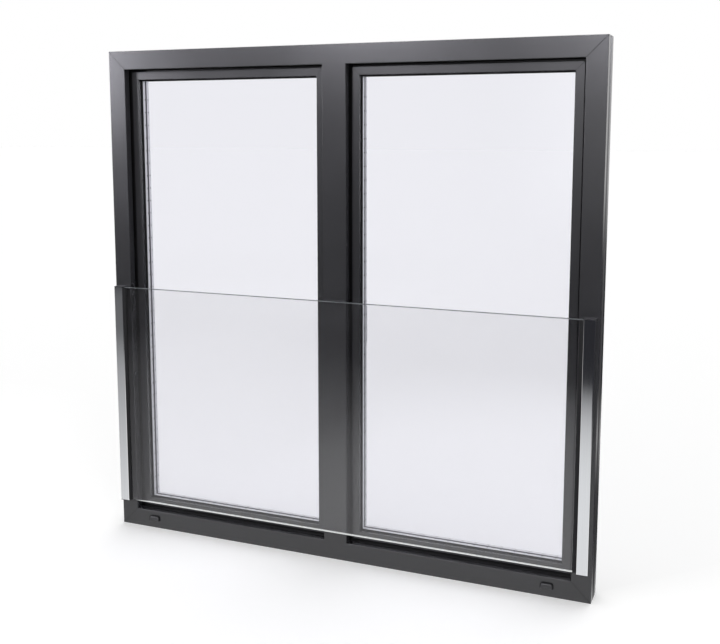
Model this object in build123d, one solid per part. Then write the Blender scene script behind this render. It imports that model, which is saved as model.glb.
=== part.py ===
"""Two-leaf anthracite aluminium window with a clamped glass fall guard on its outer face.

X runs to the right as seen from outside, Y runs from outside to the room, Z runs up.
The origin is the middle of the sill's underside. All sizes are millimetres.
"""

from build123d import *
import os

# Outer frame and mullion
window_width = 1500
window_height = 1500
frame_face = 55
mullion_face = 72
frame_depth = 75
outer_shell_depth = 24
inner_shell_depth = 26
rebate_step = 12
strip_thickness = 3
frame_edge_radius = 1
mitre_gap = 0.2

# Sashes
sash_gap = 7
sash_face = 23
sash_lip_depth = 11
sash_edge_radius = 1
hardware_gap = 7
shoulder_setback = 3
overlap = 8
overlap_depth = 13
overlap_clearance = 4

# Insulating glass, gaskets and beads
pane_thickness = 4
pane_cavity = 12
glass_bite = 12
glass_edge_clearance = 5
spacer_width = 11
outer_gasket_depth = 4
outer_gasket_sight = 4
outer_gasket_grip = 10
inner_gasket_depth = 2
inner_gasket_width = 6
inner_gasket_sight = 1
bead_depth = 10
bead_width = 11
bead_slope_width = 6
bead_slope_depth = 8
centre_gasket_foot = 8
centre_gasket_wall = 4
centre_gasket_lip = 6
overlap_gasket_setback = 1
overlap_gasket_width = 6

# Glass fall guard and its clamp rails
rail_inset = 7.5
rail_width = 31
rail_bottom = 85
rail_length = 694
rail_base_plate = 2
rail_base_web = 3
rail_cover_wall = 3
rail_cover_return = 2.5
rail_cover_radius = 2.5
rail_cap_thickness = 2
rail_gasket_back = 2.5
rail_gasket_front = 1.7
rail_gasket_web = 3
rail_mouth_setback = 1
guard_ply = 6
guard_interlayer = 0.8
guard_pad = 2

# Drain caps on the sill
drain_cap_inset = 120
drain_cap_height = 24
drain_cap_width = 32
drain_cap_rise = 14
drain_cap_projection = 6
drain_cap_corner = 6
drain_cap_brow = 2
drain_cap_wall = 2

# Window handles on the room side
rosette_width = 28
rosette_length = 68
rosette_depth = 9
rosette_corner = 6
rosette_edge = 1.5
lever_reach = 40
lever_length = 118
lever_width = 18
lever_thickness = 11
lever_corner = 2.5
lever_bend = 15

# Hinges on the room side
hinge_end_distance = 130
hinge_barrel_radius = 7
hinge_barrel_length = 64
hinge_barrel_edge = 1.5
hinge_leaf_thickness = 3
hinge_leaf_width = 18
hinge_knuckle_depth = 7
hinge_clearance = 1

# Places that follow from the sizes above
front = -frame_depth / 2
inner_shell_front = frame_depth - inner_shell_depth
inner_edge = frame_face - rebate_step
unit_thickness = 3 * pane_thickness + 2 * pane_cavity
sash_depth = sash_lip_depth + outer_gasket_depth + unit_thickness + inner_gasket_depth + bead_depth
sash_room_face = frame_depth + overlap_clearance + overlap_depth
sash_front = sash_room_face - sash_depth
sash_shoulder = inner_shell_front + shoulder_setback
sash_lip_back = sash_front + sash_lip_depth
sash_lip_edge = sash_gap + sash_face
sight_line = sash_lip_edge + outer_gasket_sight
glass_edge = sight_line - glass_bite
rebate_base = glass_edge - glass_edge_clearance
glass_front = sash_lip_back + outer_gasket_depth
glass_back = glass_front + unit_thickness
bead_front = glass_back + inner_gasket_depth
overlap_edge = -rebate_step - overlap
guard_thickness = 2 * guard_ply + guard_interlayer
guard_back = -rail_base_plate - rail_gasket_back
guard_front = guard_back - guard_thickness
cover_back = guard_front - rail_gasket_front
rail_front = cover_back - rail_cover_wall
rail_top = rail_bottom + rail_length
guard_top = rail_top - rail_cap_thickness
guard_bottom = rail_bottom + rail_cap_thickness + guard_pad
mitre_margin = 1


def section(*corners):
    """Closed outline from (inward, depth) corners, each with an optional rounding radius."""
    outline = make_face(Polyline(*[(c[0], c[1]) for c in corners], close=True))
    for corner in corners:
        if len(corner) == 3:
            sharp = outline.vertices().sort_by_distance((corner[0], corner[1], 0))[0]
            outline = fillet(sharp, corner[2])
    return outline


def bar(profile, opening, side, gap):
    """Mitred bar along one side of an opening; the profile runs inward and then in depth."""
    left, right, bottom, top = opening
    middle_x = (left + right) / 2
    middle_z = (bottom + top) / 2
    places = {
        "bottom": ((middle_x, front, bottom), Vector(0, 0, 1), right - left),
        "top": ((middle_x, front, top), Vector(0, 0, -1), right - left),
        "left": ((left, front, middle_z), Vector(1, 0, 0), top - bottom),
        "right": ((right, front, middle_z), Vector(-1, 0, 0), top - bottom),
    }
    edge, inward, span = places[side]
    depth = Vector(0, 1, 0)
    along = inward.cross(depth)
    box = profile.bounding_box()
    low = box.min.X - mitre_margin
    high = box.max.X + mitre_margin
    square_bar = extrude(Plane(edge, inward, along) * profile, span / 2 - low, both=True)
    low_half = span / 2 - low - gap / 2
    high_half = span / 2 - high - gap / 2
    mitre = make_face(
        Polyline((-low_half, low), (low_half, low), (high_half, high), (-high_half, high), close=True)
    )
    mitre_plane = Plane(edge, along, depth).offset(box.min.Y - mitre_margin)
    wedge = extrude(mitre_plane * mitre, box.size.Y + 2 * mitre_margin)
    return square_bar & wedge


def bars(profile, opening, gap=mitre_gap):
    """The four mitred bars around an opening, by side."""
    return {side: bar(profile, opening, side, gap) for side in ("top", "bottom", "left", "right")}


def ring(profile, opening):
    """One endless piece around an opening, such as a gasket with welded corners."""
    pieces = bars(profile, opening, gap=0)
    return pieces["top"] + pieces["left"] + pieces["bottom"] + pieces["right"]


def block(x_range, depth_range, z_range):
    """Box between two X values, two depths behind the frame's front face, and two heights."""
    size_x = x_range[1] - x_range[0]
    size_y = depth_range[1] - depth_range[0]
    size_z = z_range[1] - z_range[0]
    corner = Pos(x_range[0], front + depth_range[0], z_range[0])
    return corner * Box(size_x, size_y, size_z, align=(Align.MIN, Align.MIN, Align.MIN))


def upright(outline, z_range):
    """Vertical bar whose (x, depth) outline is measured from the frame's front face."""
    floor_plan = Pos(0, front, z_range[0]) * outline
    return extrude(floor_plan, z_range[1] - z_range[0], dir=(0, 0, 1))


def frame_parts():
    """Outer frame and mullion: an outer and an inner shell joined by insulating strips."""
    outline = (-window_width / 2, window_width / 2, 0, window_height)
    outer_shell = section(
        (0, 0, frame_edge_radius),
        (frame_face, 0, frame_edge_radius),
        (frame_face, outer_shell_depth),
        (0, outer_shell_depth),
    )
    inner_shell = section(
        (0, inner_shell_front),
        (inner_edge, inner_shell_front),
        (inner_edge, frame_depth, frame_edge_radius),
        (0, frame_depth, frame_edge_radius),
    )
    outer_bars = bars(outer_shell, outline)
    inner_bars = bars(inner_shell, outline)
    strips = []
    for strip_edge in (0, inner_edge - strip_thickness):
        strip = section(
            (strip_edge, outer_shell_depth),
            (strip_edge + strip_thickness, outer_shell_depth),
            (strip_edge + strip_thickness, inner_shell_front),
            (strip_edge, inner_shell_front),
        )
        strips += bars(strip, outline).values()

    half_face = mullion_face / 2
    half_inner = half_face - rebate_step
    mullion_outer = section(
        (-half_face, 0, frame_edge_radius),
        (half_face, 0, frame_edge_radius),
        (half_face, outer_shell_depth),
        (-half_face, outer_shell_depth),
    )
    mullion_inner = section(
        (-half_inner, inner_shell_front),
        (half_inner, inner_shell_front),
        (half_inner, frame_depth, frame_edge_radius),
        (-half_inner, frame_depth, frame_edge_radius),
    )
    outer_height = (frame_face - frame_edge_radius, window_height - frame_face + frame_edge_radius)
    inner_height = (inner_edge - frame_edge_radius, window_height - inner_edge + frame_edge_radius)
    strip_height = (inner_edge, window_height - inner_edge)
    coped_outer = upright(mullion_outer, outer_height) - outer_bars["top"] - outer_bars["bottom"]
    coped_inner = upright(mullion_inner, inner_height) - inner_bars["top"] - inner_bars["bottom"]
    strip_depth = (outer_shell_depth, inner_shell_front)
    for strip_x in (-half_inner, half_inner - strip_thickness):
        strips.append(block((strip_x, strip_x + strip_thickness), strip_depth, strip_height))
    return {
        "frame_head": [outer_bars["top"], inner_bars["top"]],
        "frame_sill": [outer_bars["bottom"], inner_bars["bottom"]],
        "frame_left_jamb": [outer_bars["left"], inner_bars["left"]],
        "frame_right_jamb": [outer_bars["right"], inner_bars["right"]],
        "frame_mullion": [coped_outer, coped_inner],
        "frame_thermal_break": strips,
    }


def sash_parts(hand, opening):
    """One sash: mitred bars, insulating glass, gaskets and glazing beads."""
    left, right, bottom, top = opening
    hinge_side, lock_side = ("left", "right") if hand == "left" else ("right", "left")
    sash_profile = section(
        (sash_gap, sash_front, sash_edge_radius),
        (sash_lip_edge, sash_front, sash_edge_radius),
        (sash_lip_edge, sash_lip_back),
        (rebate_base, sash_lip_back),
        (rebate_base, sash_room_face),
        (overlap_edge, sash_room_face, sash_edge_radius),
        (overlap_edge, frame_depth + overlap_clearance),
        (hardware_gap - rebate_step, frame_depth + overlap_clearance),
        (hardware_gap - rebate_step, sash_shoulder),
        (sash_gap, sash_shoulder),
    )
    sash_bars = bars(sash_profile, opening)

    pane_x = (left + glass_edge, right - glass_edge)
    pane_z = (bottom + glass_edge, top - glass_edge)
    panes = []
    spacers = []
    pane_pitch = pane_thickness + pane_cavity
    for index in range(3):
        pane_front = glass_front + index * pane_pitch
        panes.append(block(pane_x, (pane_front, pane_front + pane_thickness), pane_z))
    for index in range(2):
        cavity_front = glass_front + pane_thickness + index * pane_pitch
        spacer = section(
            (glass_edge, cavity_front),
            (glass_edge + spacer_width, cavity_front),
            (glass_edge + spacer_width, cavity_front + pane_cavity),
            (glass_edge, cavity_front + pane_cavity),
        )
        spacers.append(ring(spacer, opening))

    outer_gasket = section(
        (sash_lip_edge - outer_gasket_grip, sash_lip_back),
        (sash_lip_edge, sash_lip_back),
        (sight_line, glass_front),
        (sash_lip_edge - outer_gasket_grip, glass_front),
    )
    bead_edge = rebate_base + bead_width
    inner_sight_line = bead_edge + inner_gasket_sight
    inner_gasket = section(
        (inner_sight_line - inner_gasket_width, glass_back),
        (inner_sight_line, glass_back),
        (inner_sight_line, bead_front),
        (inner_sight_line - inner_gasket_width, bead_front),
    )
    bead = section(
        (rebate_base, bead_front),
        (bead_edge, bead_front),
        (bead_edge, sash_room_face - bead_slope_depth),
        (bead_edge - bead_slope_width, sash_room_face, sash_edge_radius),
        (rebate_base, sash_room_face),
    )
    overlap_gasket_edge = overlap_edge + overlap_gasket_setback
    overlap_gasket = section(
        (overlap_gasket_edge, frame_depth),
        (overlap_gasket_edge + overlap_gasket_width, frame_depth),
        (overlap_gasket_edge + overlap_gasket_width, frame_depth + overlap_clearance),
        (overlap_gasket_edge, frame_depth + overlap_clearance),
    )
    foot_back = inner_shell_front - centre_gasket_wall / 4
    foot_front = foot_back - centre_gasket_foot
    lip_root = hardware_gap - rebate_step
    centre_gasket = section(
        (-rebate_step, foot_front),
        (centre_gasket_wall - rebate_step, foot_front),
        (lip_root + centre_gasket_lip, sash_shoulder - centre_gasket_wall),
        (lip_root + centre_gasket_lip, sash_shoulder),
        (lip_root + centre_gasket_wall / 4, sash_shoulder),
        (centre_gasket_wall - rebate_step, foot_back),
        (-rebate_step, foot_back),
    )
    return {
        f"{hand}_sash_top_rail": [sash_bars["top"]],
        f"{hand}_sash_bottom_rail": [sash_bars["bottom"]],
        f"{hand}_sash_hinge_stile": [sash_bars[hinge_side]],
        f"{hand}_sash_lock_stile": [sash_bars[lock_side]],
        f"{hand}_sash_glass_panes": panes,
        f"{hand}_sash_spacers": spacers,
        f"{hand}_sash_outer_gasket": [ring(outer_gasket, opening)],
        f"{hand}_sash_inner_gasket": [ring(inner_gasket, opening), ring(overlap_gasket, opening)],
        f"{hand}_sash_glazing_beads": list(bars(bead, opening).values()),
        f"{hand}_frame_centre_gasket": [ring(centre_gasket, opening)],
    }


def hardware_parts(hand, opening):
    """Handle and hinges of one sash, on the room side."""
    left, right, bottom, top = opening
    mirror = 1 if hand == "left" else -1
    lock_edge = right if hand == "left" else left
    hinge_edge = left if hand == "left" else right
    room_face = front + sash_room_face

    stile_middle = (overlap_edge + rebate_base) / 2
    handle_x = lock_edge - mirror * stile_middle
    handle_z = (bottom + top) / 2
    rosette_plane = Plane((handle_x, room_face, handle_z), (1, 0, 0), (0, 1, 0))
    plate = RectangleRounded(rosette_width, rosette_length, rosette_corner)
    rosette = extrude(rosette_plane * plate, rosette_depth)
    rosette = chamfer(rosette.faces().sort_by(Axis.Y)[-1].edges(), rosette_edge)

    neck = Vector(handle_x, room_face + rosette_depth, handle_z)
    elbow = neck + Vector(0, lever_reach, 0)
    tip = elbow - Vector(0, 0, lever_length)
    route = FilletPolyline(neck, elbow, tip, radius=lever_bend)
    grip = chamfer(Rectangle(lever_width, lever_thickness).vertices(), lever_corner)
    lever = sweep(Plane(neck, (1, 0, 0), (0, 1, 0)) * grip, route)

    hinges = []
    barrel_inward = overlap_edge - hinge_clearance - hinge_barrel_radius
    barrel_depth = frame_depth + hinge_clearance + hinge_barrel_radius
    barrel_x = hinge_edge + mirror * barrel_inward
    lip_x = hinge_edge + mirror * overlap_edge
    leaf_x = barrel_x - mirror * hinge_leaf_width
    knuckle_depths = (barrel_depth - hinge_knuckle_depth / 2, barrel_depth + hinge_knuckle_depth / 2)
    leaf_depths = (frame_depth, frame_depth + hinge_leaf_thickness)
    for middle in (bottom + hinge_end_distance, top - hinge_end_distance):
        low = middle - hinge_barrel_length / 2
        high = middle + hinge_barrel_length / 2
        barrel = Cylinder(hinge_barrel_radius, hinge_barrel_length)
        barrel = chamfer(barrel.edges().filter_by(GeomType.CIRCLE), hinge_barrel_edge)
        barrel = Pos(barrel_x, front + barrel_depth, middle) * barrel
        frame_leaf = block(sorted((leaf_x, barrel_x)), leaf_depths, (low, middle))
        sash_leaf = block(sorted((barrel_x, lip_x)), knuckle_depths, (middle, high))
        hinges.append(barrel + frame_leaf + sash_leaf)
    return {
        f"{hand}_handle_rosette": [rosette],
        f"{hand}_handle_lever": [lever],
        f"{hand}_hinges": hinges,
    }


def guard_parts():
    """Laminated glass fall guard, one pane from rail to rail."""
    groove = rail_inset + rail_cover_return + rail_base_web + rail_gasket_web
    glass_x = (groove - window_width / 2, window_width / 2 - groove)
    glass_z = (guard_bottom, guard_top)
    front_ply = block(glass_x, (guard_front, guard_front + guard_ply), glass_z)
    back_ply = block(glass_x, (guard_back - guard_ply, guard_back), glass_z)
    interlayer = block(glass_x, (guard_front + guard_ply, guard_back - guard_ply), glass_z)
    return {
        "guard_glass_plies": [front_ply, back_ply],
        "guard_glass_interlayer": [interlayer],
    }


def rail_parts(hand):
    """Clamp rail on one jamb: base, gasket round the glass edge, polished cover and end caps."""
    mirror = 1 if hand == "left" else -1
    outer = rail_inset
    return_end = outer + rail_cover_return
    web_end = return_end + rail_base_web
    groove = web_end + rail_gasket_web
    inner = outer + rail_width
    mouth = inner - rail_mouth_setback

    def across(*corners):
        placed = []
        for corner in corners:
            placed.append((mirror * (corner[0] - window_width / 2), *corner[1:]))
        return section(*placed)

    base = across(
        (return_end, 0),
        (return_end, cover_back),
        (web_end, cover_back),
        (web_end, -rail_base_plate),
        (mouth, -rail_base_plate),
        (mouth, 0),
    )
    cover = across(
        (outer, 0),
        (outer, rail_front, rail_cover_radius),
        (inner, rail_front, rail_cover_radius),
        (inner, cover_back),
        (return_end, cover_back),
        (return_end, 0),
    )
    gasket = across(
        (web_end, -rail_base_plate),
        (web_end, cover_back),
        (mouth, cover_back),
        (mouth, guard_front),
        (groove, guard_front),
        (groove, guard_back),
        (mouth, guard_back),
        (mouth, -rail_base_plate),
    )
    pad = across((groove, guard_front), (mouth, guard_front), (mouth, guard_back), (groove, guard_back))
    cap = across(
        (outer, 0),
        (outer, rail_front, rail_cover_radius),
        (inner, rail_front, rail_cover_radius),
        (inner, 0),
    )
    run = (rail_bottom + rail_cap_thickness, guard_top)
    pad_run = (run[0], guard_bottom)
    return {
        f"{hand}_rail_base": [upright(base, run)],
        f"{hand}_rail_cover": [upright(cover, run)],
        f"{hand}_rail_gasket": [upright(gasket, run) + upright(pad, pad_run)],
        f"{hand}_rail_end_caps": [upright(cap, (rail_bottom, run[0])), upright(cap, (run[1], rail_top))],
    }


def drain_cap(hand):
    """Hooded drain cap over a slot in the sill, hollow and open at its underside."""
    mirror = 1 if hand == "left" else -1
    middle_x = mirror * (drain_cap_inset - window_width / 2)
    hood_x = (middle_x - drain_cap_width / 2, middle_x + drain_cap_width / 2)
    hood_z = (drain_cap_height, drain_cap_height + drain_cap_rise)
    hood = block(hood_x, (-drain_cap_projection, 0), hood_z)
    top_face = hood.faces().sort_by(Axis.Z)[-1]
    hood = fillet(top_face.edges().filter_by(Axis.Y), drain_cap_corner)
    front_face = hood.faces().sort_by(Axis.Y)[0]
    bottom_edge = front_face.edges().sort_by(Axis.Z)[0]
    hood = chamfer([edge for edge in front_face.edges() if edge != bottom_edge], drain_cap_brow)
    hollow_x = (hood_x[0] + drain_cap_brow + drain_cap_wall, hood_x[1] - drain_cap_brow - drain_cap_wall)
    hollow_z = (hood_z[0], hood_z[1] - drain_cap_brow - drain_cap_wall)
    hollow = block(hollow_x, (drain_cap_wall - drain_cap_projection, 0), hollow_z)
    return {f"{hand}_drain_cap": [hood - hollow]}


def main():
    half_mullion = mullion_face / 2
    jamb_inside = window_width / 2 - frame_face
    heights = (frame_face, window_height - frame_face)
    openings = {
        "left": (-jamb_inside, -half_mullion, *heights),
        "right": (half_mullion, jamb_inside, *heights),
    }
    nodes = frame_parts()
    for hand, opening in openings.items():
        nodes |= sash_parts(hand, opening)
        nodes |= hardware_parts(hand, opening)
        nodes |= rail_parts(hand)
        nodes |= drain_cap(hand)
    nodes |= guard_parts()

    os.makedirs("parts", exist_ok=True)
    for name, pieces in nodes.items():
        shape = pieces[0] if len(pieces) == 1 else Compound(children=list(pieces))
        export_step(shape, f"parts/{name}.step")


main()
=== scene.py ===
"""Looks of a two-leaf anthracite aluminium window with a clamped glass fall guard."""

import math

import bmesh
import bpy
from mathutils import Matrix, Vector


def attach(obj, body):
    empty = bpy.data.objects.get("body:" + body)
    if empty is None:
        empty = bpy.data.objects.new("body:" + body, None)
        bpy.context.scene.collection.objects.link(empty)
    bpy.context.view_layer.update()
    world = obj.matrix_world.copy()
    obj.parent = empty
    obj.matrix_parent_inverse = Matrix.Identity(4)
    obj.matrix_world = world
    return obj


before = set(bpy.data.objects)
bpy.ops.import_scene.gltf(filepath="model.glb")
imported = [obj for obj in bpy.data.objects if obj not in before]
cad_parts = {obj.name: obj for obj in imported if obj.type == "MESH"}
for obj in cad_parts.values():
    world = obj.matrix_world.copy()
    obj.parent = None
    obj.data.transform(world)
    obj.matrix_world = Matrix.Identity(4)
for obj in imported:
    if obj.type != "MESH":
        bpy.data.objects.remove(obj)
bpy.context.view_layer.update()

MM = 0.001
HANDS = {"left": -1, "right": 1}

# Places on the window, in metres, as the solids have them
FRAME_SIDE = 0.75
FRAME_TOP = 1.5
FRAME_FRONT = -0.0375
FRAME_ROOM = 0.0375
SASH_FRONT = -0.0085
SASH_ROOM = 0.0545
LEAF_HINGE_SIDE = 0.695
LEAF_LOCK_SIDE = 0.036
LEAF_BOTTOM = 0.055
LEAF_TOP = 1.445
MIDDLE_PANE = (0.0225, 0.0265)
INNER_PANE_FRONT = 0.0385
GUARD_MIDDLE = -0.0484
GUARD_FRONT = -0.0548
GUARD_ENDS = (0.0895, 0.7765)
RAIL_INNER_SIDE = 0.7115
DRAIN_MIDDLE = 0.63
DRAIN_BOTTOM = 0.024
SHADE_BAND_FRONT = -0.0410
CAP_FRONT = -0.0415
HINGE_AXIS = (0.723, 0.0455)
HINGE_MIDDLES = (0.185, 1.315)
HINGE_LEAF_FACE = 0.0405
HINGE_SCREW_SIDE = 0.736
HANDLE_MIDDLE = (0.0345, 0.75)
ROSETTE_FACE = 0.0635

# Insets from the frame's outer edge and from a leaf's opening, in metres
FRAME_MITRE = (0.001, 0.0545)
FRAME_ROOM_MITRE = (0.001, 0.0345)
SASH_FRONT_MITRE = (0.0075, 0.0295)
SASH_ROOM_MITRE = (-0.0195, 0.0215)
SPACER_FACE = 0.033


def linear(hex_colour):
    """Linear RGBA of an sRGB hex colour."""
    parts = [int(hex_colour[i : i + 2], 16) / 255 for i in (1, 3, 5)]
    return (*[p / 12.92 if p <= 0.04045 else ((p + 0.055) / 1.055) ** 2.4 for p in parts], 1)


def per_metre(millimetres):
    """Texture scale at which one pattern cell has that real size."""
    return 1 / (millimetres * MM)


def add(tree, kind, inputs=None, **settings):
    """Adds a node: settings by name, inputs by socket, each a value or a link from another node."""
    made = tree.nodes.new(kind)
    for name, value in settings.items():
        setattr(made, name, value)
    for socket, value in (inputs or {}).items():
        if isinstance(value, bpy.types.NodeSocket):
            tree.links.new(value, made.inputs[socket])
        else:
            made.inputs[socket].default_value = value
    return made


def new_material(name):
    made = bpy.data.materials.new(name)
    made.use_nodes = True
    made.node_tree.nodes.clear()
    return made, made.node_tree


def powder_coat():
    # Powder-coated aluminium, satin anthracite: a dark neutral grey with a soft broad sheen, a faint
    # orange peel where the powder flowed, and gloss that changes a little over a hand's width.
    made, tree = new_material("powder_coated_aluminium_satin_anthracite")
    place = add(tree, "ShaderNodeTexCoord").outputs["Object"]
    peel = add(tree, "ShaderNodeTexNoise", {"Vector": place, "Scale": per_metre(2.5), "Detail": 2.0})
    cloud = add(tree, "ShaderNodeTexNoise", {"Vector": place, "Scale": per_metre(140), "Detail": 3.0})
    tone = add(
        tree,
        "ShaderNodeMix",
        {0: cloud.outputs[0], 6: linear("#2e2e31"), 7: linear("#323236")},
        data_type="RGBA",
    )
    gloss = add(tree, "ShaderNodeMapRange", {"Value": cloud.outputs[0], "To Min": 0.22, "To Max": 0.27})
    bump = add(
        tree, "ShaderNodeBump", {"Height": peel.outputs[0], "Strength": 0.12, "Distance": 0.05 * MM}
    )
    shell = add(
        tree,
        "ShaderNodeBsdfPrincipled",
        {
            "Base Color": tone.outputs[2],
            "Roughness": gloss.outputs[0],
            "IOR": 1.58,
            "Normal": bump.outputs[0],
        },
    )
    add(tree, "ShaderNodeOutputMaterial", {"Surface": shell.outputs[0]})
    return made


def black_rubber():
    # EPDM rubber, extruded and cured: matt black and slightly chalky, with a fine grit and hardly any sheen.
    made, tree = new_material("epdm_rubber_extruded_black")
    place = add(tree, "ShaderNodeTexCoord").outputs["Object"]
    grit = add(tree, "ShaderNodeTexNoise", {"Vector": place, "Scale": per_metre(1.5), "Detail": 4.0})
    tone = add(
        tree,
        "ShaderNodeMix",
        {0: grit.outputs[0], 6: linear("#0c0c0d"), 7: linear("#141416")},
        data_type="RGBA",
    )
    bump = add(tree, "ShaderNodeBump", {"Height": grit.outputs[0], "Strength": 0.3, "Distance": 0.1 * MM})
    shell = add(
        tree,
        "ShaderNodeBsdfPrincipled",
        {
            "Base Color": tone.outputs[2],
            "Roughness": 0.75,
            "IOR": 1.48,
            "Specular IOR Level": 0.2,
            "Normal": bump.outputs[0],
        },
    )
    add(tree, "ShaderNodeOutputMaterial", {"Surface": shell.outputs[0]})
    return made


def polyamide_strip():
    # Glass-fibre polyamide, extruded: dull black, mottled a little paler where fibres lie near the skin.
    made, tree = new_material("polyamide_glass_fibre_extruded_black")
    place = add(tree, "ShaderNodeTexCoord").outputs["Object"]
    mottle = add(tree, "ShaderNodeTexNoise", {"Vector": place, "Scale": per_metre(4), "Detail": 5.0})
    tone = add(
        tree,
        "ShaderNodeMix",
        {0: mottle.outputs[0], 6: linear("#141415"), 7: linear("#242425")},
        data_type="RGBA",
    )
    bump = add(tree, "ShaderNodeBump", {"Height": mottle.outputs[0], "Strength": 0.3, "Distance": 0.1 * MM})
    shell = add(
        tree,
        "ShaderNodeBsdfPrincipled",
        {"Base Color": tone.outputs[2], "Roughness": 0.55, "IOR": 1.53, "Normal": bump.outputs[0]},
    )
    add(tree, "ShaderNodeOutputMaterial", {"Surface": shell.outputs[0]})
    return made


def brushed_metal(name, dark, light, smooth, rough, line, run, edge=None):
    """Metal with lines along Z, their width and run in mm; edge is a lighter tone painted on its rounded
    edges and sides as a highlight.
    """
    made, tree = new_material(name)
    place = add(tree, "ShaderNodeTexCoord").outputs["Object"]
    drawn = add(
        tree,
        "ShaderNodeMapping",
        {"Vector": place, "Scale": (per_metre(line), per_metre(line), per_metre(run))},
    )
    lines = add(tree, "ShaderNodeTexNoise", {"Vector": drawn.outputs[0], "Scale": 1.0, "Detail": 3.0})
    tone = add(
        tree,
        "ShaderNodeMix",
        {0: lines.outputs[0], 6: linear(dark), 7: linear(light)},
        data_type="RGBA",
    )
    # Painted highlight: faces turned away from front and back, the rounded edges and sides, take the lighter
    # edge tone.
    if edge:
        way = add(tree, "ShaderNodeSeparateXYZ", {0: add(tree, "ShaderNodeNewGeometry").outputs["Normal"]})
        flat = add(tree, "ShaderNodeMath", {0: way.outputs["Y"]}, operation="ABSOLUTE").outputs[0]
        bent = {"Value": flat, "From Min": 0.9, "From Max": 0.995, "To Min": 1.0, "To Max": 0.0}
        rounded = add(tree, "ShaderNodeMapRange", bent).outputs[0]
        tones = {0: rounded, 6: tone.outputs[2], 7: linear(edge)}
        tone = add(tree, "ShaderNodeMix", tones, data_type="RGBA")
    gloss = add(tree, "ShaderNodeMapRange", {"Value": lines.outputs[0], "To Min": smooth, "To Max": rough})
    bump = add(
        tree, "ShaderNodeBump", {"Height": lines.outputs[0], "Strength": 0.05, "Distance": 0.02 * MM}
    )
    shell = add(
        tree,
        "ShaderNodeBsdfPrincipled",
        {
            "Base Color": tone.outputs[2],
            "Metallic": 1.0,
            "Roughness": gloss.outputs[0],
            "Normal": bump.outputs[0],
        },
    )
    add(tree, "ShaderNodeOutputMaterial", {"Surface": shell.outputs[0]})
    return made


def moulded_plastic(name, dark, light, rough, grain):
    """Plastic or sealant out of a mould or die: two close tones and a fine grain of that size in mm."""
    made, tree = new_material(name)
    place = add(tree, "ShaderNodeTexCoord").outputs["Object"]
    grit = add(tree, "ShaderNodeTexNoise", {"Vector": place, "Scale": per_metre(grain), "Detail": 3.0})
    tone = add(
        tree,
        "ShaderNodeMix",
        {0: grit.outputs[0], 6: linear(dark), 7: linear(light)},
        data_type="RGBA",
    )
    bump = add(tree, "ShaderNodeBump", {"Height": grit.outputs[0], "Strength": 0.25, "Distance": 0.1 * MM})
    shell = add(
        tree,
        "ShaderNodeBsdfPrincipled",
        {"Base Color": tone.outputs[2], "Roughness": rough, "IOR": 1.5, "Normal": bump.outputs[0]},
    )
    add(tree, "ShaderNodeOutputMaterial", {"Surface": shell.outputs[0]})
    return made


def glass_mirror(tree, normal, head_on):
    """Share of light that one glass face throws back: a little head on, all of it at a glancing angle."""
    facing = add(tree, "ShaderNodeLayerWeight", {"Blend": 0.5, "Normal": normal}).outputs["Facing"]
    steep = add(tree, "ShaderNodeMath", {0: facing, 1: 5.0}, operation="POWER").outputs[0]
    share = add(tree, "ShaderNodeMapRange", {"Value": steep, "To Min": head_on, "To Max": 1.0}).outputs[0]
    # Light that has bounced off the window passes straight on, which keeps specks off the paint behind.
    direct = add(tree, "ShaderNodeLightPath").outputs["Is Camera Ray"]
    return add(tree, "ShaderNodeMath", {0: share, 1: direct}, operation="MULTIPLY").outputs[0]


def float_glass():
    # Float glass with a low-emissivity coating: clear, very slightly cool, with a clean mirror on each
    # face that a long roller wave bends by a hair.
    made, tree = new_material("float_glass_low_emissivity_clear")
    place = add(tree, "ShaderNodeTexCoord").outputs["Object"]
    wave = add(tree, "ShaderNodeTexNoise", {"Vector": place, "Scale": per_metre(260), "Detail": 0.0})
    bump = add(tree, "ShaderNodeBump", {"Height": wave.outputs[0], "Strength": 0.2, "Distance": 0.4 * MM})
    normal = bump.outputs[0]
    clear = add(tree, "ShaderNodeBsdfTransparent", {"Color": linear("#fdfdfe")})
    shine = add(
        tree,
        "ShaderNodeBsdfGlossy",
        {"Color": linear("#fbfbff"), "Roughness": 0.0, "Normal": normal},
    )
    pane = add(
        tree,
        "ShaderNodeMixShader",
        {0: glass_mirror(tree, normal, 0.014), 1: clear.outputs[0], 2: shine.outputs[0]},
    )
    add(tree, "ShaderNodeOutputMaterial", {"Surface": pane.outputs[0]})
    return made


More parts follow.
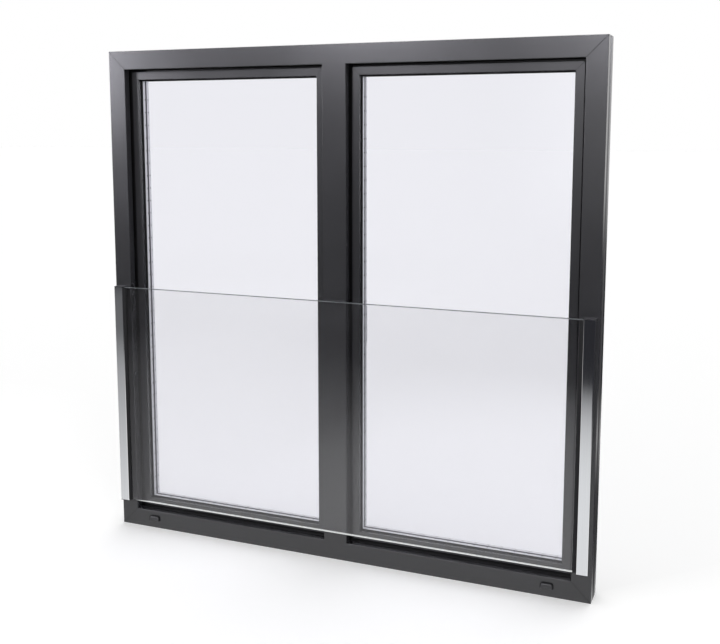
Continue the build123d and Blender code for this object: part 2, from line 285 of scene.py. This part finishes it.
def laminated_glass():
    # Laminated safety glass with polished edges: clear, with a clean mirror that its front face carries for
    # both outer faces, a grey-green band along the top edge, and a bottom edge, ground at a slant and seen
    # from within, that mirrors the light above. Light bends on its way into real glass, so the rearmost
    # part of that edge doesn't show.
    made, tree = new_material("laminated_safety_glass_polished_edges")
    place = add(tree, "ShaderNodeTexCoord").outputs["Object"]
    wave = add(tree, "ShaderNodeTexNoise", {"Vector": place, "Scale": per_metre(320), "Detail": 0.0})
    bump = add(tree, "ShaderNodeBump", {"Height": wave.outputs[0], "Strength": 0.2, "Distance": 0.4 * MM})
    normal = bump.outputs[0]
    where = add(tree, "ShaderNodeSeparateXYZ", {0: place})
    from_middle = add(
        tree, "ShaderNodeMath", {0: where.outputs["Y"], 1: GUARD_MIDDLE}, operation="SUBTRACT"
    )
    in_front = add(tree, "ShaderNodeMath", {0: from_middle.outputs[0], 1: -3 * MM}, operation="LESS_THAN")
    mirror = add(
        tree,
        "ShaderNodeMath",
        {0: glass_mirror(tree, normal, 0.07), 1: in_front.outputs[0]},
        operation="MULTIPLY",
    )
    clear = add(tree, "ShaderNodeBsdfTransparent", {"Color": linear("#fefefe")})
    shine = add(
        tree,
        "ShaderNodeBsdfGlossy",
        {"Color": linear("#fbfbff"), "Roughness": 0.0, "Normal": normal},
    )
    face = add(
        tree,
        "ShaderNodeMixShader",
        {0: mirror.outputs[0], 1: clear.outputs[0], 2: shine.outputs[0]},
    )
    face_way = add(tree, "ShaderNodeNewGeometry").outputs["True Normal"]
    way = add(tree, "ShaderNodeSeparateXYZ", {0: face_way}).outputs
    flat = add(tree, "ShaderNodeMath", {0: way["Y"]}, operation="ABSOLUTE")
    edge = add(tree, "ShaderNodeMath", {0: flat.outputs[0], 1: 0.8}, operation="LESS_THAN")
    low = add(tree, "ShaderNodeMath", {0: where.outputs["Z"], 1: 0.4}, operation="LESS_THAN")
    grind = add(tree, "ShaderNodeTexNoise", {"Vector": place, "Scale": per_metre(6), "Detail": 3.0})
    green = add(
        tree,
        "ShaderNodeMix",
        {0: grind.outputs[0], 6: linear("#5f6466"), 7: linear("#767b7e")},
        data_type="RGBA",
    )
    top_edge = add(
        tree,
        "ShaderNodeBsdfPrincipled",
        {"Base Color": green.outputs[2], "Roughness": 0.2, "IOR": 1.52},
    )
    slant = add(tree, "ShaderNodeCombineXYZ", {"X": 0.0, "Y": -0.6, "Z": 0.8})
    bright = add(
        tree,
        "ShaderNodeBsdfGlossy",
        {"Color": linear("#f8fbfa"), "Roughness": 0.05, "Normal": slant.outputs[0]},
    )
    shallow = add(tree, "ShaderNodeMath", {0: from_middle.outputs[0], 1: 4 * MM}, operation="LESS_THAN")
    # Only seen light takes the mirror: light that falls through it would leave specks on the paint behind.
    shown = add(tree, "ShaderNodeMath", {0: shallow.outputs[0], 1: seen_rays(tree)}, operation="MULTIPLY")
    upright = add(tree, "ShaderNodeMath", {0: way["Z"]}, operation="ABSOLUTE")
    underside = add(tree, "ShaderNodeMath", {0: upright.outputs[0], 1: 0.9}, operation="GREATER_THAN")
    gleam = add(tree, "ShaderNodeMath", {0: shown.outputs[0], 1: underside.outputs[0]}, operation="MULTIPLY")
    low_edge = add(
        tree,
        "ShaderNodeMixShader",
        {0: gleam.outputs[0], 1: clear.outputs[0], 2: bright.outputs[0]},
    )
    band = add(
        tree,
        "ShaderNodeMixShader",
        {0: low.outputs[0], 1: top_edge.outputs[0], 2: low_edge.outputs[0]},
    )
    whole = add(
        tree,
        "ShaderNodeMixShader",
        {0: edge.outputs[0], 1: face.outputs[0], 2: band.outputs[0]},
    )
    add(tree, "ShaderNodeOutputMaterial", {"Surface": whole.outputs[0]})
    return made


def bonding_film():
    # Polyvinyl butyral film between the plies: clear through its faces, a milky hairline at its edge.
    made, tree = new_material("polyvinyl_butyral_film_clear")
    face_way = add(tree, "ShaderNodeNewGeometry").outputs["True Normal"]
    way = add(tree, "ShaderNodeSeparateXYZ", {0: face_way}).outputs
    flat = add(tree, "ShaderNodeMath", {0: way["Y"]}, operation="ABSOLUTE")
    edge = add(tree, "ShaderNodeMath", {0: flat.outputs[0], 1: 0.8}, operation="LESS_THAN")
    clear = add(tree, "ShaderNodeBsdfTransparent", {"Color": linear("#fefefe")})
    milk = add(tree, "ShaderNodeBsdfDiffuse", {"Color": linear("#c3cac8")})
    film = add(
        tree,
        "ShaderNodeMixShader",
        {0: edge.outputs[0], 1: clear.outputs[0], 2: milk.outputs[0]},
    )
    add(tree, "ShaderNodeOutputMaterial", {"Surface": film.outputs[0]})
    return made


def softened(node, width, segments=2):
    """Gives a solid's sharp edges the small rounding that the real piece has."""
    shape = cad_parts[node]
    weld = shape.modifiers.new("join_faces", "WELD")
    weld.merge_threshold = 0.002 * MM
    plain = shape.modifiers.new("plain_faces", "DECIMATE")
    plain.decimate_type = "DISSOLVE"
    plain.angle_limit = math.radians(0.5)
    edge = shape.modifiers.new("rounded_edges", "BEVEL")
    edge.width = width * MM
    edge.segments = segments
    edge.limit_method = "ANGLE"
    edge.angle_limit = math.radians(35)
    even = shape.modifiers.new("even_shading", "WEIGHTED_NORMAL")
    even.keep_sharp = False


def skin(points, faces, rows, ring=False):
    """Adds a skin over rows of points: each row closes on itself, and a ring's last row joins its first."""
    first = len(points)
    count = len(rows[0])
    for row in rows:
        points.extend(tuple(spot) for spot in row)
    for span in range(len(rows) if ring else len(rows) - 1):
        low = first + span * count
        high = first + (span + 1) % len(rows) * count
        for step in range(count):
            after = (step + 1) % count
            faces.append((low + step, low + after, high + after, high + step))
    if not ring:
        faces.append(tuple(range(first, first + count)))
        faces.append(tuple(range(len(points) - count, len(points))))


def turned(centre, axis, outline, steps=24):
    """Rows of a turned shape: circles round an axis, each a radius and a height in metres."""
    up = Vector(axis)
    side = up.orthogonal().normalized()
    other = up.cross(side)
    rows = []
    for radius, height in outline:
        row = []
        for step in range(steps):
            turn = 2 * math.pi * step / steps
            out = side * math.cos(turn) + other * math.sin(turn)
            row.append(Vector(centre) + up * height + out * radius)
        rows.append(row)
    return rows


def new_piece(name, points, faces, finish):
    """Adds a mesh that rides on the window and takes the finish that it is given."""
    mesh = bpy.data.meshes.new(name)
    mesh.from_pydata(points, [], faces)
    shape = bmesh.new()
    shape.from_mesh(mesh)
    bmesh.ops.recalc_face_normals(shape, faces=shape.faces)
    shape.to_mesh(mesh)
    shape.free()
    mesh.materials.append(finish)
    piece = bpy.data.objects.new(name, mesh)
    bpy.context.scene.collection.objects.link(piece)
    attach(piece, "root")
    return piece


def frame_corner(side, top, inset):
    """Point (x, z) that far in from a corner of the frame, along its mitre."""
    return Vector((side * (FRAME_SIDE - inset), FRAME_TOP - inset if top else inset))


def leaf_corner(side, hinge, top, inset):
    """Point (x, z) that far in from a corner of a leaf's opening, along its mitre."""
    across = LEAF_HINGE_SIDE - inset if hinge else LEAF_LOCK_SIDE + inset
    return Vector((side * across, LEAF_TOP - inset if top else LEAF_BOTTOM + inset))


def joint_line(points, faces, start, end, face, out):
    """Thin line over a mitre from start to end on an upright face, drawn 1.2 mm wide so that it shows."""
    run = end - start
    across = Vector((-run.y, run.x)).normalized() * 0.6 * MM
    rows = []
    for spot in (start, end):
        one, two = spot + across, spot - across
        raised = face + out * 0.06 * MM
        foot = [(one.x, face, one.y), (two.x, face, two.y)]
        top = [(two.x, raised, two.y), (one.x, raised, one.y)]
        rows.append(foot + top)
    skin(points, faces, rows)


def mitre_joints(sealant):
    """Hairline joints where the mitred bars of the frame and of the two leaves meet."""
    frame_faces = ((FRAME_MITRE, FRAME_FRONT, -1), (FRAME_ROOM_MITRE, FRAME_ROOM, 1))
    sash_faces = ((SASH_FRONT_MITRE, SASH_FRONT, -1), (SASH_ROOM_MITRE, SASH_ROOM, 1))
    points, faces = [], []
    for side in HANDS.values():
        for top in (False, True):
            for inset, face, out in frame_faces:
                ends = [frame_corner(side, top, reach) for reach in inset]
                joint_line(points, faces, *ends, face, out)
    new_piece("frame_mitre_joints", points, faces, sealant)
    for hand, side in HANDS.items():
        points, faces = [], []
        for hinge in (False, True):
            for top in (False, True):
                for inset, face, out in sash_faces:
                    ends = [leaf_corner(side, hinge, top, reach) for reach in inset]
                    joint_line(points, faces, *ends, face, out)
        new_piece(f"{hand}_sash_mitre_joints", points, faces, sealant)


def leaf_rim(points, faces, side, insets, depths):
    """Rectangular strip that runs all round a leaf, between two insets and two depths."""
    front, back = depths
    rows = []
    for hinge, top in ((True, False), (True, True), (False, True), (False, False)):
        low, high = [leaf_corner(side, hinge, top, inset) for inset in insets]
        outer = [(low.x, front, low.y), (low.x, back, low.y)]
        inner = [(high.x, back, high.y), (high.x, front, high.y)]
        rows.append(outer + inner)
    skin(points, faces, rows, ring=True)


def spacer_details(sealant, rubber):
    """Sealant between spacers and panes, and the vent holes along the spacers as raised black discs: painted
    shade for the dark hollow behind each hole.
    """
    film = 0.2 * MM
    squeezed = 1.8 * MM
    for hand, side in HANDS.items():
        points, faces = [], []
        front, back = MIDDLE_PANE
        bonded = (SPACER_FACE - 7 * MM, SPACER_FACE + film)
        swelled = (SPACER_FACE, SPACER_FACE + 0.5 * MM)
        leaf_rim(points, faces, side, bonded, (front, front + film))
        leaf_rim(points, faces, side, bonded, (back - film, back))
        leaf_rim(points, faces, side, swelled, (front - squeezed, front))
        leaf_rim(points, faces, side, swelled, (back, back + squeezed))
        leaf_rim(points, faces, side, bonded, (INNER_PANE_FRONT, INNER_PANE_FRONT + film))
        new_piece(f"{hand}_spacer_sealant", points, faces, sealant)

        # Each vent hole is a low disc in the black rubber finish: painted shade where the hollow behind it
        # is dark.
        points, faces = [], []
        hole = [(1.9 * MM, 0), (1.9 * MM, 0.12 * MM), (1.4 * MM, 0.2 * MM)]
        pitch = 39 * MM
        low = leaf_corner(side, True, False, SPACER_FACE)
        high = leaf_corner(side, False, True, SPACER_FACE)
        inward = 1 if high.x > low.x else -1
        for depth in (front - 3.2 * MM, back + 8 * MM):
            for step in range(1, int((high.y - low.y) / pitch) + 1):
                height = low.y + (step - 0.5) * pitch
                skin(points, faces, turned((low.x, depth, height), (inward, 0, 0), hole, 10))
                skin(points, faces, turned((high.x, depth, height), (-inward, 0, 0), hole, 10))
            for step in range(1, int(abs(high.x - low.x) / pitch) + 1):
                across = low.x + inward * (step - 0.5) * pitch
                skin(points, faces, turned((across, depth, low.y), (0, 0, 1), hole, 10))
                skin(points, faces, turned((across, depth, high.y), (0, 0, -1), hole, 10))
        new_piece(f"{hand}_spacer_vent_shade_discs", points, faces, rubber)


def drain_shade_bands(rubber):
    """Black band round the top and the sides of each drain cap: painted shade along the cap's rim."""
    half, rise, corner = 16 * MM, 14 * MM, 6 * MM
    # Width of the black band round the cap's outline: painted shade along its top and sides.
    lip = 2.2 * MM
    for hand, side in HANDS.items():
        path = [((-half, 0), (-1, 0))]
        for start, centre in ((math.pi, -half + corner), (math.pi / 2, half - corner)):
            for step in range(7):
                turn = start - math.pi / 2 * step / 6
                out = (math.cos(turn), math.sin(turn))
                path.append(((centre + corner * out[0], rise - corner + corner * out[1]), out))
        path.append(((half, 0), (1, 0)))
        rows = []
        for spot, out in path:
            row = []
            for proud, face in ((0, FRAME_FRONT), (lip, FRAME_FRONT), (lip, SHADE_BAND_FRONT), (0, CAP_FRONT)):
                across = side * DRAIN_MIDDLE + spot[0] + out[0] * proud
                row.append((across, face, DRAIN_BOTTOM + spot[1] + out[1] * proud))
            rows.append(row)
        points, faces = [], []
        skin(points, faces, rows)
        new_piece(f"{hand}_drain_shade_band", points, faces, rubber)


def rail_lip_seals(rubber):
    """Black lip that closes the gap between each rail's cover and the guard glass."""
    outline = [(0, 0), (0, 4.2), (0.8, 4.4), (8.2, 2.6), (10.8, 1.0), (11, 0.4), (10.8, 0)]
    for hand, side in HANDS.items():
        rows = []
        for height in GUARD_ENDS:
            row = []
            for across, proud in outline:
                row.append((side * (RAIL_INNER_SIDE - across * MM), GUARD_FRONT - proud * MM, height))
            rows.append(row)
        points, faces = [], []
        skin(points, faces, rows)
        new_piece(f"{hand}_rail_lip_seal", points, faces, rubber)


def in_metres(outline):
    """A turned shape's radii and heights, given in millimetres."""
    return [(radius * MM, height * MM) for radius, height in outline]


def room_hardware(steel, washer, satin):
    """Screws and washers of the hinges, and the turned collar under each handle."""
    for hand, side in HANDS.items():
        points, faces = [], []
        for middle in HINGE_MIDDLES:
            for below in (8 * MM, 24 * MM):
                centre = (side * HINGE_SCREW_SIDE, HINGE_LEAF_FACE, middle - below)
                head = in_metres([(3.4, 0), (3.4, 0.3), (2.9, 0.7), (1.7, 0.7), (1.6, 0.2)])
                skin(points, faces, turned(centre, (0, 1, 0), head, 24))
        new_piece(f"{hand}_hinge_screws", points, faces, steel)

        points, faces = [], []
        for middle in HINGE_MIDDLES:
            centre = (side * HINGE_AXIS[0], HINGE_AXIS[1], middle)
            rim = in_metres([(6.8, -0.5), (7.25, -0.5), (7.25, 0.5), (6.8, 0.5)])
            skin(points, faces, turned(centre, (0, 0, 1), rim, 32), ring=True)
        new_piece(f"{hand}_hinge_washers", points, faces, washer)

        points, faces = [], []
        across, height = HANDLE_MIDDLE
        foot = [(12.5, 0), (12.5, 1.3), (11.8, 2.0), (11.0, 2.0)]
        groove = [(10.7, 1.5), (10.2, 1.5), (9.9, 2.0), (2, 2.0)]
        centre = (side * across, ROSETTE_FACE, height)
        skin(points, faces, turned(centre, (0, 1, 0), in_metres(foot + groove), 48))
        new_piece(f"{hand}_handle_collar", points, faces, satin)


def dress_window():
    paint = powder_coat()
    rubber = black_rubber()
    panes = float_glass()
    # Aluminium, polished and bright-anodised: a clean mirror with faint upright polishing lines, drawn 2 mm
    # wide here because the real ones are too fine to show, and a painted highlight: a lighter tone along its
    # rounded edges and sides.
    polished = brushed_metal(
        "aluminium_polished_bright", "#d3d5d8", "#dcdee1", 0.07, 0.1, line=2, run=300, edge="#fafbfc"
    )
    # Aluminium, black anodised: a dull dark metal in the rail's mouth and on its ends.
    black_anodised = brushed_metal(
        "aluminium_anodised_black", "#222224", "#2c2c2f", 0.38, 0.46, line=3, run=200
    )
    # Polypropylene spacer bar, extruded light grey: matt and pale, so it reads bright in the glass.
    spacer_bar = moulded_plastic("polypropylene_spacer_light_grey", "#d3d3d7", "#dfdfe3", 0.5, grain=2)
    # Aluminium, satin anodised silver: even, fine and softly bright in the hand.
    satin_anodised = brushed_metal(
        "aluminium_anodised_satin_silver", "#a9abad", "#b7b9bb", 0.27, 0.34, line=0.8, run=40
    )
    # ASA, moulded in the frame's colour: a shade duller than the paint, with a fine eroded grain.
    hood = moulded_plastic("asa_moulded_anthracite", "#2f2f32", "#36363a", 0.4, grain=1.2)
    finishes = {
        "frame_thermal_break": polyamide_strip(),
        "guard_glass_plies": laminated_glass(),
        "guard_glass_interlayer": bonding_film(),
    }
    for bar in ("head", "sill", "left_jamb", "right_jamb", "mullion"):
        finishes[f"frame_{bar}"] = paint
    for hand in HANDS:
        for bar in ("top_rail", "bottom_rail", "hinge_stile", "lock_stile", "glazing_beads"):
            finishes[f"{hand}_sash_{bar}"] = paint
        for seal in ("sash_outer_gasket", "sash_inner_gasket", "frame_centre_gasket", "rail_gasket"):
            finishes[f"{hand}_{seal}"] = rubber
        finishes[f"{hand}_sash_glass_panes"] = panes
        finishes[f"{hand}_sash_spacers"] = spacer_bar
        finishes[f"{hand}_rail_base"] = black_anodised
        finishes[f"{hand}_rail_cover"] = polished
        finishes[f"{hand}_rail_end_caps"] = black_anodised
        finishes[f"{hand}_drain_cap"] = hood
        finishes[f"{hand}_handle_rosette"] = satin_anodised
        finishes[f"{hand}_handle_lever"] = satin_anodised
        finishes[f"{hand}_hinges"] = satin_anodised
    for node, finish in finishes.items():
        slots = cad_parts[node].data.materials
        slots.clear()
        slots.append(finish)
    for bar in ("head", "sill", "left_jamb", "right_jamb"):
        softened(f"frame_{bar}", 0.5)
    for hand in HANDS:
        for bar in ("top_rail", "bottom_rail", "hinge_stile", "lock_stile", "glazing_beads"):
            softened(f"{hand}_sash_{bar}", 0.5)
        softened(f"{hand}_drain_cap", 0.6)
        softened(f"{hand}_handle_rosette", 0.6, segments=3)
        softened(f"{hand}_handle_lever", 1.2, segments=4)
        softened(f"{hand}_hinges", 0.4)
        softened(f"{hand}_rail_end_caps", 0.4)
    softened("guard_glass_plies", 0.8, segments=1)

    # Stainless steel, turned: a little brighter and harder than the hinge that it holds.
    steel = brushed_metal("stainless_steel_turned", "#b3b2b0", "#c4c3c1", 0.2, 0.28, line=0.6, run=6)
    mitre_joints(rubber)
    # Butyl sealant, extruded grey: a dull line between spacer and pane.
    butyl = moulded_plastic("butyl_sealant_extruded_grey", "#56565a", "#626266", 0.6, grain=2)
    spacer_details(butyl, rubber)
    drain_shade_bands(rubber)
    rail_lip_seals(rubber)
    room_hardware(steel, finishes["frame_thermal_break"], satin_anodised)


def seen_rays(tree):
    """One for light seen directly, in a mirror or through glass, and zero for light that falls on things."""
    path = add(tree, "ShaderNodeLightPath").outputs
    eye_or_mirror = {0: path["Is Camera Ray"], 1: path["Is Glossy Ray"]}
    eye = add(tree, "ShaderNodeMath", eye_or_mirror, operation="MAXIMUM").outputs[0]
    eye_or_glass = {0: eye, 1: path["Is Transmission Ray"]}
    return add(tree, "ShaderNodeMath", eye_or_glass, operation="MAXIMUM").outputs[0]


def white_world():
    """Surroundings that are plain white where they are seen."""
    world = bpy.data.worlds.new("white_surroundings")
    bpy.context.scene.world = world
    world.use_nodes = True
    tree = world.node_tree
    tree.nodes.clear()
    # More of the light that falls comes low from behind, so the sill draws a soft shadow to the front.
    way = add(tree, "ShaderNodeTexCoord").outputs["Generated"]
    toward = add(tree, "ShaderNodeVectorMath", {0: way, 1: (0, 0.906, 0.423)}, operation="DOT_PRODUCT")
    behind = add(tree, "ShaderNodeMath", {0: toward.outputs["Value"], 1: 0.0}, operation="MAXIMUM")
    glow = add(tree, "ShaderNodeMath", {0: behind.outputs[0], 1: 4.0}, operation="POWER")
    falling = add(tree, "ShaderNodeMapRange", {"Value": glow.outputs[0], "To Min": 0.64, "To Max": 2.97})
    level = add(tree, "ShaderNodeMix", {0: seen_rays(tree), 2: falling.outputs[0], 3: 1.0})
    sky = add(tree, "ShaderNodeBackground", {"Color": linear("#ffffff"), "Strength": level.outputs[0]})
    add(tree, "ShaderNodeOutputWorld", {"Surface": sky.outputs[0]})


def paper_floor():
    """White floor that keeps the window's shadow, lightened by a painted glow."""
    mesh = bpy.data.meshes.new("studio_floor")
    mesh.from_pydata([(-60, -60, 0), (60, -60, 0), (60, 60, 0), (-60, 60, 0)], [], [(0, 1, 2, 3)])
    floor = bpy.data.objects.new("studio_floor", mesh)
    bpy.context.scene.collection.objects.link(floor)
    made, tree = new_material("studio_paper_matt_white_painted_glow")
    place = add(tree, "ShaderNodeTexCoord").outputs["Object"]
    away = add(tree, "ShaderNodeVectorMath", {0: place}, operation="LENGTH").outputs["Value"]
    where = add(tree, "ShaderNodeSeparateXYZ", {0: place}).outputs
    # The paper carries a painted glow for seen light that lifts its shade: stronger in front of the window
    # than behind it, and about 0.13 far off, with a soft change past the window's ends.
    aside = add(tree, "ShaderNodeMath", {0: where["X"]}, operation="ABSOLUTE").outputs[0]
    past_end = {"Value": aside, "From Min": 0.75, "From Max": 1.9, "To Min": 0.035, "To Max": 1.3}
    half_change = add(tree, "ShaderNodeMapRange", past_end).outputs[0]
    front_half = add(tree, "ShaderNodeMath", {0: half_change, 1: -1.0}, operation="MULTIPLY").outputs[0]
    change = {"Value": where["Y"], "From Min": front_half, "From Max": half_change}
    near = add(tree, "ShaderNodeMapRange", {**change, "To Min": 0.28, "To Max": 0.11}).outputs[0]
    distant = {"Value": away, "From Min": 1.0, "From Max": 6.0, "To Min": near, "To Max": 0.128}
    bright = add(tree, "ShaderNodeMapRange", distant).outputs[0]
    # Painted glow: the paper gives off this much white light where it is seen.
    painted_glow = add(tree, "ShaderNodeMath", {0: seen_rays(tree), 1: bright}, operation="MULTIPLY")
    paper = add(tree, "ShaderNodeBsdfDiffuse", {"Color": linear("#f1f1f1")})
    white = add(tree, "ShaderNodeEmission", {"Color": linear("#ffffff"), "Strength": painted_glow.outputs[0]})
    both = add(tree, "ShaderNodeAddShader", {0: paper.outputs[0], 1: white.outputs[0]})
    # Mirrors see the paper as plain white, which keeps specks out of what shows through the glass.
    plain = add(tree, "ShaderNodeEmission", {"Color": linear("#ffffff"), "Strength": 1.0})
    mirrored = add(tree, "ShaderNodeLightPath").outputs["Is Glossy Ray"]
    whole = add(tree, "ShaderNodeMixShader", {0: mirrored, 1: both.outputs[0], 2: plain.outputs[0]})
    add(tree, "ShaderNodeOutputMaterial", {"Surface": whole.outputs[0]})
    mesh.materials.append(made)


def dark_ring():
    """Dark cloth on the floor and upright around it, which only reflections see."""
    ring = bpy.data.meshes.new("dark_studio_ring")
    steps = 96
    outline = [(0.3, 0.002), (7.0, 0.002), (7.0, 2.6)]
    points = []
    faces = []
    for radius, height in outline:
        for step in range(steps):
            turn = 2 * math.pi * step / steps
            points.append((radius * math.cos(turn), radius * math.sin(turn), height))
    for row in range(len(outline) - 1):
        low = row * steps
        high = low + steps
        for step in range(steps):
            after = (step + 1) % steps
            faces.append((low + step, low + after, high + after, high + step))
    ring.from_pydata(points, [], faces)
    card = bpy.data.objects.new("dark_studio_ring", ring)
    bpy.context.scene.collection.objects.link(card)
    for ray in ("camera", "diffuse", "transmission", "volume_scatter", "shadow"):
        setattr(card, f"visible_{ray}", False)
    made, tree = new_material("black_cloth_feathered")
    place = add(tree, "ShaderNodeTexCoord").outputs["Object"]
    spread = add(tree, "ShaderNodeVectorMath", {0: place}, operation="LENGTH").outputs["Value"]
    where = add(tree, "ShaderNodeSeparateXYZ", {0: place}).outputs

    # The cloth thickens outward from the window, more slowly far to the left, and is dense again at its rim.
    far_left = {"Value": where["X"], "From Min": -2.0, "From Max": -0.6}
    end = add(tree, "ShaderNodeMapRange", {**far_left, "To Min": 3.7, "To Max": 2.45}).outputs[0]
    weave = add(tree, "ShaderNodeMapRange", {**far_left, "To Min": 0.84, "To Max": 1.0}).outputs[0]
    to_rim = {"Value": spread, "From Min": 4.9, "From Max": 5.5, "To Max": 0.98}
    rim = add(tree, "ShaderNodeMapRange", to_rim).outputs[0]
    lying = add(tree, "ShaderNodeMath", {0: where["Z"], 1: 0.05}, operation="LESS_THAN").outputs[0]
    lying_rim = add(tree, "ShaderNodeMath", {0: rim, 1: lying}, operation="MULTIPLY").outputs[0]
    depth = add(tree, "ShaderNodeMath", {0: weave, 1: lying_rim}, operation="MAXIMUM").outputs[0]
    to_right = {"Value": where["X"], "From Min": -0.6, "From Max": 0.3}
    bend = add(tree, "ShaderNodeMapRange", {**to_right, "To Min": 1.1, "To Max": 2.5}).outputs[0]
    outward = add(tree, "ShaderNodeMapRange", {"Value": spread, "From Min": 0.6, "From Max": end}).outputs[0]
    thickness = add(tree, "ShaderNodeMath", {0: outward, 1: bend}, operation="POWER").outputs[0]
    fade = add(tree, "ShaderNodeMath", {0: thickness, 1: depth}, operation="MULTIPLY").outputs[0]

    # Two soft openings in the upright cloth let the white through: to the right, and high on the room side.
    right_part = {"Value": where["X"], "From Min": -1.5, "From Max": 0.1}
    aside = add(tree, "ShaderNodeMapRange", right_part, interpolation_type="SMOOTHSTEP").outputs[0]
    upper_part = {"Value": where["Z"], "From Min": 0.0, "From Max": 0.9}
    above = add(tree, "ShaderNodeMapRange", upper_part, interpolation_type="SMOOTHSTEP").outputs[0]
    room_part = {"Value": where["Y"], "From Min": 1.0, "From Max": 3.0}
    room_side = add(tree, "ShaderNodeMapRange", room_part).outputs[0]
    high_part = {"Value": where["Z"], "From Min": 1.2, "From Max": 1.7}
    high_up = add(tree, "ShaderNodeMapRange", high_part).outputs[0]
    for sideways, upward in ((aside, above), (room_side, high_up)):
        gap = add(tree, "ShaderNodeMath", {0: sideways, 1: upward}, operation="MULTIPLY").outputs[0]
        cover = add(tree, "ShaderNodeMath", {0: 1.0, 1: gap}, operation="SUBTRACT").outputs[0]
        fade = add(tree, "ShaderNodeMath", {0: fade, 1: cover}, operation="MULTIPLY").outputs[0]

    # A dense patch past the right jamb keeps that side of the frame dark, and it ends softly to the back.
    past_jamb = {"Value": where["X"], "From Min": 0.74, "From Max": 0.79}
    beside = add(tree, "ShaderNodeMapRange", past_jamb).outputs[0]
    past_front = {"Value": where["Y"], "From Min": -0.06, "From Max": 0.0}
    back = add(tree, "ShaderNodeMapRange", past_front).outputs[0]
    corner = add(tree, "ShaderNodeMath", {0: beside, 1: back}, operation="MULTIPLY").outputs[0]
    beyond = {"Value": where["Y"], "From Min": 0.7, "From Max": 1.9, "To Min": 1.0, "To Max": 0.0}
    ended = add(tree, "ShaderNodeMapRange", beyond, interpolation_type="SMOOTHSTEP").outputs[0]
    patch = add(tree, "ShaderNodeMath", {0: corner, 1: ended}, operation="MULTIPLY").outputs[0]
    whole_cloth = add(tree, "ShaderNodeMath", {0: fade, 1: patch}, operation="MAXIMUM").outputs[0]

    open_part = add(tree, "ShaderNodeBsdfTransparent")
    cloth = add(tree, "ShaderNodeEmission", {"Color": linear("#2f2f33"), "Strength": 1.0})
    both = add(
        tree,
        "ShaderNodeMixShader",
        {0: whole_cloth, 1: open_part.outputs[0], 2: cloth.outputs[0]},
    )
    add(tree, "ShaderNodeOutputMaterial", {"Surface": both.outputs[0]})
    ring.materials.append(made)


def softbox(name, place, target, size, power):
    """Rectangular studio light that faces a point and draws a sheen; the camera doesn't see it."""
    data = bpy.data.lights.new(name, "AREA")
    data.shape = "RECTANGLE"
    data.size, data.size_y = size
    data.energy = power
    data.color = linear("#f6f5ff")[:3]
    lamp = bpy.data.objects.new(name, data)
    bpy.context.scene.collection.objects.link(lamp)
    lamp.location = place
    lamp.rotation_euler = (Vector(target) - Vector(place)).to_track_quat("-Z", "Y").to_euler()
    lamp.visible_camera = False
    lamp.visible_diffuse = False


def studio_lights():
    softbox("left_softbox", (-4.0, -2.9, 2.4), (0, 0, 1.4), (1.6, 2.2), 250)
    softbox("middle_softbox", (-1.6, -4.2, 3.1), (0, 0, 1.4), (0.8, 2.0), 124)
    softbox("right_softbox", (0.45, -4.4, 3.15), (0.4, 0, 1.4), (1.0, 2.0), 165)
    softbox("room_softbox", (1.8, 4.4, 3.0), (0, 0, 0.9), (2.2, 1.6), 160)


def photo_camera():
    """Camera with a small shift and a slight tilt, which keeps the whole window in view."""
    data = bpy.data.cameras.new("photo_camera")
    data.sensor_width = 36
    data.lens = 50
    data.shift_y = -0.08
    camera = bpy.data.objects.new("photo_camera", data)
    bpy.context.scene.collection.objects.link(camera)
    camera.location = (1.142, -2.6245, 1.2631)
    camera.rotation_euler = (math.radians(90 - 7.654), 0, math.radians(22.328))
    bpy.context.scene.camera = camera


photo_camera()
white_world()
paper_floor()
dark_ring()
studio_lights()
dress_window()

scene = bpy.context.scene
scene.view_settings.view_transform = "Standard"
scene.cycles.transparent_max_bounces = 32
